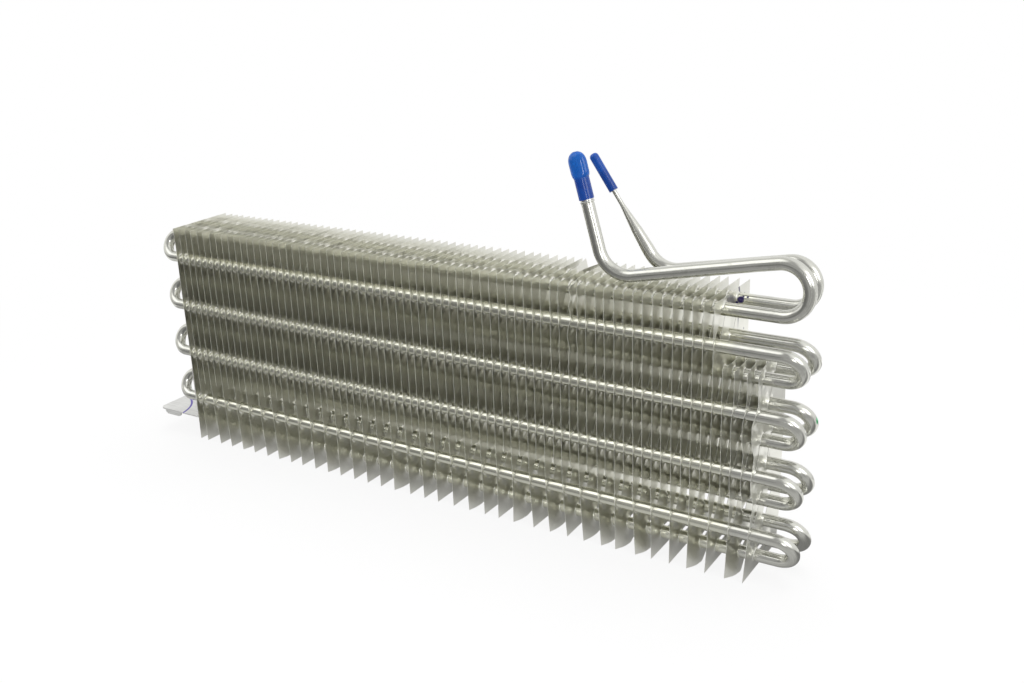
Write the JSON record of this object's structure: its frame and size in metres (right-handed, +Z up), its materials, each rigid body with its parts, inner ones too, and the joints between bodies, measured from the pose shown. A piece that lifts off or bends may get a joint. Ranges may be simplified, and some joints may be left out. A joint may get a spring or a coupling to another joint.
{
  "type": "refrigerator evaporator",
  "caption": "Laced tube-and-fin refrigerator evaporator: one serpentine tube through a long pack of thin sheet fins, with capped connections and a mounting ear.",
  "frame": {"origin": "middle of the part's length and depth, on the bottom edges of the long fins", "axes": "+X along the tubes towards the bends and connections, +Y to the back, +Z up"},
  "size_m": [0.5376, 0.056, 0.2547],
  "materials": {
    "tube": "satin",
    "fins": "satin",
    "bracket": "satin",
    "outlet_cap": "gloss",
    "inlet_cap": "gloss"
  },
  "bodies": {
    "root": {"evaporator_tube": "tube", "inlet_cap": "inlet_cap", "long_fin_01": "fins", "long_fin_02": "fins", "long_fin_03": "fins", "long_fin_04": "fins", "long_fin_05": "fins", "long_fin_06": "fins", "long_fin_07": "fins", "long_fin_08": "fins", "long_fin_09": "fins", "long_fin_10": "fins", "long_fin_11": "fins", "long_fin_12": "fins", "long_fin_13": "fins", "long_fin_14": "fins", "long_fin_15": "fins", "long_fin_16": "fins", "long_fin_17": "fins", "long_fin_18": "fins", "long_fin_19": "fins", "long_fin_20": "fins", "long_fin_21": "fins", "long_fin_22": "fins", "long_fin_23": "fins", "long_fin_24": "fins", "long_fin_25": "fins", "long_fin_26": "fins", "long_fin_27": "fins", "long_fin_28": "fins", "long_fin_29": "fins", "long_fin_30": "fins", "long_fin_31": "fins", "long_fin_32": "fins", "long_fin_33": "fins", "long_fin_34": "fins", "long_fin_35": "fins", "long_fin_36": "fins", "long_fin_37": "fins", "long_fin_38": "fins", "mounting_bracket": "bracket", "outlet_cap": "outlet_cap", "short_fins_01": "fins", "short_fins_02": "fins", "short_fins_03": "fins", "short_fins_04": "fins", "short_fins_05": "fins", "short_fins_06": "fins", "short_fins_07": "fins", "short_fins_08": "fins", "short_fins_09": "fins", "short_fins_10": "fins", "short_fins_11": "fins", "short_fins_12": "fins"}
  },
  "joints": []
}
